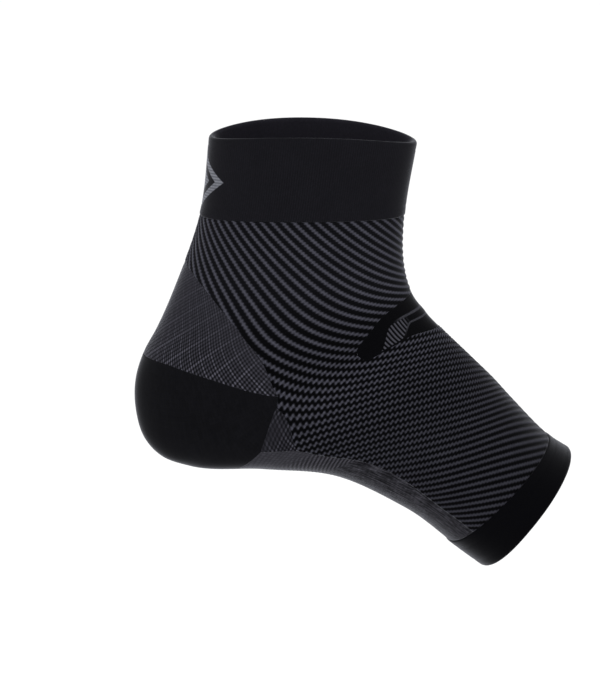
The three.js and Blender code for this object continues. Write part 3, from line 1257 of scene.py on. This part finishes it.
def make_braid() -> Group:
    """Wavy strands along the foot.

    Returns:
        The group.
    """
    group = Group("braided_knit", ("Stripe", "Column"), ("Grey",))
    sheet, given = group.sheet, group.given
    course = sheet.math("MULTIPLY_ADD", given["Stripe"], 2.0, given["Column"])
    wale = sheet.math("MULTIPLY_ADD", given["Stripe"], -2.0, given["Column"])
    noise = sheet.node("ShaderNodeTexNoise")
    narrow, long = STRAND_SIZE
    where = sheet.pair(sheet.math("MULTIPLY", wale, narrow), sheet.math("MULTIPLY", course, long))
    for socket, value in (("Vector", where), ("Scale", 1.6), ("Detail", 2.5), ("Roughness", 0.6)):
        sheet.feed(noise.inputs[socket], value)
    wander = sheet.math("MULTIPLY", noise.outputs["Fac"], 2.0)
    fine = sheet.wave(sheet.math("MULTIPLY_ADD", wale, 0.80, wander))
    knots = sheet.wave(sheet.total((0.50, course), (0.25, wale)))
    strands = sheet.ramp(noise.outputs["Fac"], 0.28, 0.72)
    group.give("Grey", sheet.total((0.55, strands), (0.10, fine), (0.04, knots), (1.0, 0.24)))
    return group


Screen = tuple[int, int, int]
SCREEN_POWER = 2.2            # turns a tone as the eye sees it into a share of light


def linear(colour: Screen) -> tuple[float, float, float, float]:
    """A colour given in screen values, as the shader takes it.

    Args:
        colour: Red, green and blue from 0 to 255.

    Returns:
        Red, green, blue and 1.
    """
    shares = [value / 255 for value in colour]
    light = [share / 12.92 if share <= 0.04045 else ((share + 0.055) / 1.055) ** 2.4 for share in shares]
    return (*light, 1.0)


@dataclass(frozen=True)
class KnitFinish:
    """Colours and depths of one kind of knit."""

    name: str
    ground: Screen
    yarn: Screen
    mark: Screen = (120, 122, 130)
    bump: float = 0.10
    sheen: float = 0.50
    roughness: float = 0.82
    stitch: float = 0.5

    def shader(self) -> tuple[bpy.types.Material, NodeSheet, bpy.types.Node]:
        """A new material with its constant values set.

        Returns:
            The material, its nodes and its shader.
        """
        material = bpy.data.materials.new(self.name)
        material.use_nodes = True
        sheet = NodeSheet(material.node_tree)
        shader = material.node_tree.nodes["Principled BSDF"]
        shader.inputs["Sheen Weight"].default_value = self.sheen
        shader.inputs["Sheen Roughness"].default_value = 0.25
        shader.inputs["Sheen Tint"].default_value = (0.80, 0.82, 0.90, 1.0)
        shader.inputs["Specular IOR Level"].default_value = 0.04
        return material, sheet, shader


class Look(NamedTuple):
    """What a pattern gives a finish: how much grey yarn shows, and a lighter mark where there is one."""

    grey: object
    mark: object = 0.0


Pattern = Callable[[NodeSheet, Sockets, Sockets], Look]


class Dresser:
    """Puts the finishes together from the shared groups."""

    FIBRE_SCALE = 2600.0
    CLOUD = (0.30, 0.85)           # swing and least value of the uneven dye
    FIBRE = (0.50, 0.75)           # and of the loose fibres' tone
    FIBRE_ROUGHNESS = 0.16
    BUMP_STRENGTH = 0.9
    LOZENGE_REACH = 0.085          # turns from the back to the lozenge's side corner
    LOZENGE_HEIGHT = 11.0          # millimetres from its middle to its top corner
    LOZENGE_PLACE = 17.0           # millimetres from the rim to its middle

    def __init__(self) -> None:
        """Builds the groups once."""
        self.stitches = make_stitches()
        self.fuzz = make_fuzz()
        self.float_ribs = make_float_ribs()
        self.line_mesh = make_line_mesh()
        self.braid = make_braid()

    def place(self, sheet: NodeSheet, group: Group, **inputs: object) -> bpy.types.NodeOutputs:
        """Adds one of the groups to a material, feeds it and returns its outputs.

        Args:
            sheet: The material's nodes.
            group: The group to place.
            inputs: Its inputs by name.

        Returns:
            Its outputs.
        """
        made = sheet.node("ShaderNodeGroup", node_tree=group.tree)
        for name, value in inputs.items():
            sheet.feed(made.inputs[name], value)
        return made.outputs

    def finish(self, finish: KnitFinish, pattern: Pattern) -> bpy.types.Material:
        """One material from a finish and the pattern of its zone.

        Args:
            finish: Colours and depths.
            pattern: Gives the look from the sheet, the knit's values and the place in the zone.

        Returns:
            The material.
        """
        material, sheet, shader = finish.shader()
        knit, place = sheet.split("knit"), sheet.split("place")
        look = pattern(sheet, knit, place)
        stitches = self.place(sheet, self.stitches, Stripe=knit[0], Column=knit[1])
        fuzz = self.place(sheet, self.fuzz, Scale=self.FIBRE_SCALE)
        shown = sheet.math("MULTIPLY_ADD", stitches["Round"], 0.5 * finish.stitch, 1 - 0.5 * finish.stitch)
        seen = sheet.math("POWER", sheet.product(look.grey, shown), SCREEN_POWER)
        yarns = sheet.blend(seen, linear(finish.ground), linear(finish.yarn))
        base = sheet.blend(look.mark, yarns, linear(finish.mark))
        tone = sheet.math("MULTIPLY_ADD", stitches["Tone"], 0.45 * finish.stitch, 1 - 0.22 * finish.stitch)
        cloud = sheet.math("MULTIPLY_ADD", fuzz["Cloud"], *self.CLOUD)
        fibre = sheet.math("MULTIPLY_ADD", fuzz["Fibre"], *self.FIBRE)
        dyed = sheet.node("ShaderNodeVectorMath", operation="SCALE")
        sheet.feed(dyed.inputs[0], base)
        sheet.feed(dyed.inputs["Scale"], sheet.product(tone, cloud, fibre))
        sheet.feed(shader.inputs["Base Color"], dyed.outputs[0])
        roughness = sheet.math("MULTIPLY_ADD", fuzz["Fibre"], self.FIBRE_ROUGHNESS, finish.roughness)
        sheet.feed(shader.inputs["Roughness"], roughness)
        bump = sheet.node("ShaderNodeBump")
        bump.inputs["Strength"].default_value = self.BUMP_STRENGTH
        bump.inputs["Distance"].default_value = finish.bump * MM
        raised = sheet.total((1.0, look.grey), (0.6 * finish.stitch, stitches["Round"]), (0.5, fuzz["Fibre"]))
        sheet.feed(bump.inputs["Height"], raised)
        sheet.feed(shader.inputs["Normal"], bump.outputs[0])
        return material

    def ribs(self, sheet: NodeSheet, knit: Sockets, place: Sockets) -> Look:
        """Slanting stripes of floats."""
        inputs = {"Stripe": knit[0], "Column": knit[1], "Dash": knit[2], "Share": place[2]}
        return Look(self.place(sheet, self.float_ribs, **inputs)["Grey"])

    def mesh(self, sheet: NodeSheet, knit: Sockets, place: Sockets) -> Look:
        """Fine crossing lines, which stand out more towards the panel's lower corners.

        Args:
            sheet: The material's nodes.
            knit: The knit's three values.
            place: The place in the zone.

        Returns:
            The look.
        """
        out = sheet.math("ABSOLUTE", sheet.math("MULTIPLY_ADD", place[0], 2.0, -1.0))
        strength = sheet.shift(sheet.ramp(sheet.total((0.6, place[1]), (0.4, out)), 0.20, 0.85), 0.35, 1.0)
        inputs = {"First": knit[0], "Second": knit[1], "Strength": strength, "Tone": knit[2]}
        return Look(self.place(sheet, self.line_mesh, **inputs)["Grey"])

    def plain(self, sheet: NodeSheet, knit: Sockets, place: Sockets) -> Look:
        """Plain knit, in which only a shade of the second yarn shows."""
        course = sheet.math("MULTIPLY_ADD", knit[0], 2.0, knit[1])
        return Look(sheet.math("MULTIPLY_ADD", sheet.wave(course), 0.06, 0.55))

    def sole(self, sheet: NodeSheet, knit: Sockets, place: Sockets) -> Look:
        """Smooth behind the arch, then ladder rungs, then wavy strands, by the share of the length. The
        smooth part's light grey is partly the yarn's own tone and partly painted light of the brighter
        underside by the heel.

        Args:
            sheet: The material's nodes.
            knit: The knit's three values.
            place: The place in the zone.

        Returns:
            The look.
        """
        braid = self.place(sheet, self.braid, Stripe=knit[0], Column=knit[1])["Grey"]
        rungs = sheet.wave(sheet.total((RUNGS[0], knit[0]), (RUNGS[1], knit[1])))
        rungs = sheet.math("MULTIPLY_ADD", rungs, 0.26, 0.60)
        # Light grey of the smooth part: partly the yarn's own tone, partly painted light of the lit
        # underside.
        smooth = 0.66
        laddered = sheet.shift(sheet.ramp(place[2], 0.610, 0.655), smooth, rungs)
        return Look(sheet.shift(sheet.ramp(place[2], 0.690, 0.700), laddered, braid))

    def patch(self, sheet: NodeSheet, knit: Sockets, place: Sockets) -> Look:
        """Smooth and dark, with a leaf of short rungs on each side, whose edges run on to the front.

        Args:
            sheet: The material's nodes.
            knit: The knit's three values.
            place: The place in the zone.

        Returns:
            The look.
        """
        reach = sheet.less(sheet.math("ABSOLUTE", sheet.math("MULTIPLY_ADD", place[0], 2.0, -1.0)))
        inside = knit[2]
        rungs = sheet.ramp(sheet.wave(sheet.total((27.0, reach), (-0.6, place[1]))), -0.9, 0.8)
        ends = sheet.less(sheet.ramp(reach, 0.58, 0.68))
        leaf = sheet.product(sheet.ramp(inside, 0.0, 0.04), rungs, ends)
        edge = sheet.product(sheet.ramp(inside, -0.05, -0.02), sheet.less(sheet.ramp(inside, 0.015, 0.045)))
        lines = sheet.product(edge, sheet.ramp(reach, 0.45, 0.60), 0.75)
        return Look(sheet.math("MAXIMUM", leaf, lines))

    def banded(self, sheet: NodeSheet, knit: Sockets, place: Sockets) -> Look:
        """Fine plain cuff knit with a lozenge knitted in grey at the back, and the inner layer painted
        lighter to lift the shade inside the cuff.

        Args:
            sheet: The material's nodes.
            knit: The knit's three values.
            place: The place in the zone.

        Returns:
            The look.
        """
        ribs = sheet.wave(knit[0])
        out = sheet.math("DIVIDE", place[0], self.LOZENGE_REACH)
        scale, middle = 1 / self.LOZENGE_HEIGHT, -self.LOZENGE_PLACE / self.LOZENGE_HEIGHT
        up = sheet.math("ABSOLUTE", sheet.math("MULTIPLY_ADD", knit[1], scale, middle))
        size = sheet.math("ADD", out, up)
        ring = sheet.product(sheet.ramp(size, 0.68, 0.72), sheet.less(sheet.ramp(size, 0.96, 1.0)))
        core = sheet.less(sheet.ramp(size, 0.40, 0.44))
        weave = sheet.math("MULTIPLY_ADD", sheet.wave(sheet.math("MULTIPLY", knit[1], 0.9)), 0.25, 0.70)
        outside = sheet.less(place[2])
        mark = sheet.product(sheet.math("MAXIMUM", ring, core), weave, outside)
        # The inner layer's added grey is painted light, standing in for light on the cuff's inside wall.
        return Look(sheet.total((0.12, ribs), (0.60, place[2]), (1.0, 0.60)), mark)


class Lamp(NamedTuple):
    """A square lamp that shines at the sleeve."""

    name: str
    place: tuple[float, float, float]
    size: float
    power: float


LAMPS = (
    Lamp("key", (-0.9, -1.3, 1.3), 1.2, 3.0),
    Lamp("fill", (1.2, -1.6, 0.4), 1.4, 1.5),
    Lamp("back_left", (-1.4, 0.9, 0.3), 0.9, 2.0),
    Lamp("back_right", (1.3, 1.1, 0.6), 0.9, 1.5),
)


@dataclass
class Studio:
    """Pale floor, soft light and the camera."""

    aim: tuple[float, float, float] = (-0.0053, 0.0, -0.0847)
    azimuth: float = -3.0
    elevation: float = 9.5
    distance: float = 3.0
    view_height: float = 0.278
    sensor: float = 36.0
    floor_drop: float = 0.16
    floor_size: float = 40.0
    clip: tuple[float, float] = (0.05, 60.0)

    def build(self, low: Vector) -> None:
        """Makes the floor, the lights and the camera.

        Args:
            low: The object's lowest corner.
        """
        self._floor(low.z - self.floor_drop)
        self._lights()
        self._camera()
        world = bpy.data.worlds.new("studio")
        bpy.context.scene.world = world
        world.use_nodes = True
        world.node_tree.nodes["Background"].inputs["Color"].default_value = (1, 1, 1, 1)
        world.node_tree.nodes["Background"].inputs["Strength"].default_value = 1.0
        bpy.context.scene.view_settings.view_transform = "Standard"

    def _floor(self, height: float) -> None:
        """A wide pale floor.

        Args:
            height: Where it lies, in metres.
        """
        deselect()
        bpy.ops.mesh.primitive_plane_add(size=self.floor_size, location=(0, 0, height))
        floor = bpy.context.object
        floor.name = "floor"
        material = bpy.data.materials.new("floor_white")
        material.use_nodes = True
        shader = material.node_tree.nodes["Principled BSDF"]
        shader.inputs["Base Color"].default_value = (0.9, 0.9, 0.9, 1)
        shader.inputs["Roughness"].default_value = 0.9
        shader.inputs["Emission Color"].default_value = (1, 1, 1, 1)
        shader.inputs["Emission Strength"].default_value = 0.12
        floor.data.materials.append(material)
        floor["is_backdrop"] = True

    def _lights(self) -> None:
        """A wide key light above, a fill from the front and one behind each side."""
        for lamp in LAMPS:
            data = bpy.data.lights.new(lamp.name, "AREA")
            data.shape = "SQUARE"
            data.size = lamp.size
            data.energy = lamp.power
            made = bpy.data.objects.new(lamp.name, data)
            bpy.context.scene.collection.objects.link(made)
            made.location = lamp.place
            made.rotation_euler = (Vector(self.aim) - Vector(lamp.place)).to_track_quat("-Z", "Y").to_euler()

    def _camera(self) -> None:
        """A long lens at the picture's angle."""
        data = bpy.data.cameras.new("camera")
        data.sensor_width = self.sensor
        data.lens = self.sensor * self.distance / self.view_height
        camera = bpy.data.objects.new("camera", data)
        bpy.context.scene.collection.objects.link(camera)
        a, e = math.radians(self.azimuth), math.radians(self.elevation)
        back = Vector((math.sin(a) * math.cos(e), -math.cos(a) * math.cos(e), math.sin(e)))
        camera.location = Vector(self.aim) + back * self.distance
        camera.rotation_euler = (-back).to_track_quat("-Z", "Y").to_euler()
        data.clip_start, data.clip_end = self.clip
        bpy.context.scene.camera = camera


class Sleeve:
    """The whole sleeve: two cuffs and the knitted zones between them."""

    def __init__(self) -> None:
        """Prepares the surface, the lines and the finishes."""
        self.sizes = SleeveSizes()
        self.surface = SleeveSurface(self.sizes)
        self.lattice = Lattice(self.surface)
        self.lines = RailMaker(self.surface)
        self.relief = Relief()
        self.dresser = Dresser()
        self.materials: dict[str, bpy.types.Material] = {}

    def patches(self) -> dict[str, Patch]:
        """The piece of the surface that each zone covers."""
        return {**self._leg_patches(), **self._heel_patches(), **self._foot_patches()}

    def _leg_patches(self) -> dict[str, Patch]:
        """The leg's ribs and the patch at the bend of the ankle.

        Returns:
            Patches by the names of their zones.
        """
        lines = self.lines
        start = self.sizes.ankle_cuff
        up_patch = (PATCH_TIP_TOP[::-1], PATCH_TOP[::-1])
        low = lines.closed_over(lines.half(ACHILLES_TOP, SIDE_SEAM, *up_patch))
        seam = np.array([[start, 0.0], [ACHILLES_TOP[0][0] * self.surface.length, 0.0]])
        tip = lines.spot(PATCH_TIP)
        return {
            "leg_sleeve": Patch(
                lines.round(start), low, lines.rail(seam), lines.rail(seam + np.array([0, 1])),
            ),
            "instep_patch": Patch(
                lines.over_front(lines.half(*up_patch)), lines.over_front(lines.half(*LOW_PATCH)),
                lines.rail(tip), lines.far_front(tip),
            ),
        }

    def _heel_patches(self) -> dict[str, Patch]:
        """The panel over the tendon, the heel pocket and the two gussets.

        Returns:
            Patches by the names of their zones.
        """
        lines = self.lines
        top = lines.over_back(lines.half(HEEL_TOP))
        side = lines.half((HEEL_CORNER, HEEL_EDGE), HEEL_SIDE)
        corner = lines.spot(HEEL_CORNER)
        near = (
            lines.half(HEEL_SIDE), lines.half(GUSSET_FRONT), lines.spot(HEEL_EDGE),
            lines.half((GUSSET_FOOT, GUSSET_TOE)),
        )
        return {
            "achilles_panel": Patch(
                lines.over_back(lines.half(ACHILLES_TOP)), top, lines.rail(corner), lines.far_back(corner),
            ),
            "heel_pocket": Patch(
                top, lines.over_back(lines.half(HEEL_UNDER)), lines.rail(side), lines.far_back(side),
            ),
            "gusset_right": Patch(*(lines.rail(spots) for spots in near)),
            "gusset_left": Patch(*(lines.far_back(spots) for spots in near)),
        }

    def _foot_patches(self) -> dict[str, Patch]:
        """The foot's ribs and the band under the arch, which both end at the toe cuff.

        Returns:
            Patches by the names of their zones.
        """
        lines = self.lines
        end = self.surface.length - self.sizes.toe_cuff
        side = lines.half(SOLE_TOP)
        edge = lines.half((GUSSET_FOOT, GUSSET_TOE), SOLE_TOP)
        side[-1, 0] = edge[-1, 0] = end
        turn = side[-1, 1]
        rear = lines.half(GUSSET_FRONT[::-1], (HEEL_EDGE, HEEL_CORNER), SIDE_SEAM, *LOW_PATCH)
        return {
            "foot_sleeve": Patch(
                lines.over_front(rear), lines.arc(end, turn, 1 - turn),
                lines.rail(side), lines.far_front(side),
            ),
            "sole_band": Patch(
                lines.over_back(lines.half(HEEL_UNDER)), lines.arc(end, turn, -turn),
                lines.rail(edge), lines.far_back(edge),
            ),
        }

    def zones(self) -> tuple[KnitZone, ...]:
        """The knitted zones, from the leg to the toes.

        Returns:
            One entry for each piece of knit.
        """
        gusset = {"cell": 0.4, "tone": 0.8, "mesh_first": (-0.92, 1.50), "mesh_second": (1.68, 1.53)}
        return (
            KnitZone("leg_sleeve", KnitWork.RIBS, "rib_knit", cell=0.50, ring=True),
            KnitZone("achilles_panel", KnitWork.MESH, "checker_knit", cell=0.45),
            KnitZone("heel_pocket", KnitWork.PLAIN, "plain_knit", cell=0.7),
            KnitZone("gusset_right", KnitWork.MESH, "checker_knit", **gusset),
            KnitZone("gusset_left", KnitWork.MESH, "checker_knit", **gusset),
            KnitZone("foot_sleeve", KnitWork.RIBS, "rib_knit", cell=0.46),
            KnitZone("sole_band", KnitWork.SOLE, "sole_knit", cell=0.5),
            KnitZone("instep_patch", KnitWork.PATCH, "patch_knit", cell=0.4),
        )

    def finishes(self) -> dict[str, bpy.types.Material]:
        """One material for each slot of the record.

        Returns:
            Materials by slot.
        """
        dresser = self.dresser
        kinds = (
            (KnitFinish("rib_knit", (2, 2, 3), (90, 90, 102), sheen=0.40), dresser.ribs),
            (KnitFinish("checker_knit", (12, 12, 15), (90, 89, 100)), dresser.mesh),
            (KnitFinish("plain_knit", (8, 8, 11), (26, 26, 29), bump=0.05, sheen=0.40), dresser.plain),
            (KnitFinish("sole_knit", (12, 12, 15), (84, 83, 91)), dresser.sole),
            (KnitFinish("patch_knit", (4, 4, 6), (78, 78, 86), bump=0.06, sheen=0.40), dresser.patch),
            (KnitFinish("cuff_knit", (14, 14, 17), (33, 32, 38), bump=0.05, sheen=0.40), dresser.banded),
            (KnitFinish("toe_cuff_knit", (2, 2, 4), (13, 13, 16), bump=0.05, sheen=0.40), dresser.plain),
        )
        return {kind.name: dresser.finish(kind, pattern) for kind, pattern in kinds}

    def build(self) -> None:
        """Builds, dresses and declares every piece."""
        self.materials = self.finishes()
        patches = self.patches()
        for zone in self.zones():
            piece = zone.build(self.surface, self.lattice, patches[zone.name], self.relief)
            self.declare(piece, zone.slot)
        end = self.surface.length
        for cuff in (
            Cuff("ankle_cuff", "cuff_knit", 0.0, self.sizes.ankle_cuff),
            Cuff("toe_cuff", "toe_cuff_knit", end, end - self.sizes.toe_cuff),
        ):
            self.declare(cuff.build(self.surface), cuff.slot)

    def declare(self, piece: bpy.types.Object, slot: str) -> None:
        """Gives a piece its finish and its place in the frame.

        Args:
            piece: The piece, named after the solid that it replaces.
            slot: Its material slot in the record.
        """
        node = piece.name.split(".")[0]
        piece.name = f"{node}_knit"
        piece.data.materials.clear()
        piece.data.materials.append(self.materials[slot])
        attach(piece, "root")
        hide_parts(node)
        mesh = bmesh.new()
        mesh.from_mesh(piece.data)
        open_edges = sum(not edge.is_manifold for edge in mesh.edges)
        triangles = sum(len(face.verts) - 2 for face in mesh.faces)
        volume = mesh.calc_volume(signed=True) / MM**3
        LOG.info("%s: %d triangles, %.0f mm3, %d open edges", piece.name, triangles, volume, open_edges)
        mesh.free()


def main() -> None:
    """Loads the frame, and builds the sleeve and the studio."""
    logging.basicConfig(level=logging.INFO, format="%(name)s: %(message)s")
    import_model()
    cad_low, cad_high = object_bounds()
    Sleeve().build()
    Studio().build(cad_low)


if __name__ == "__main__":
    main()
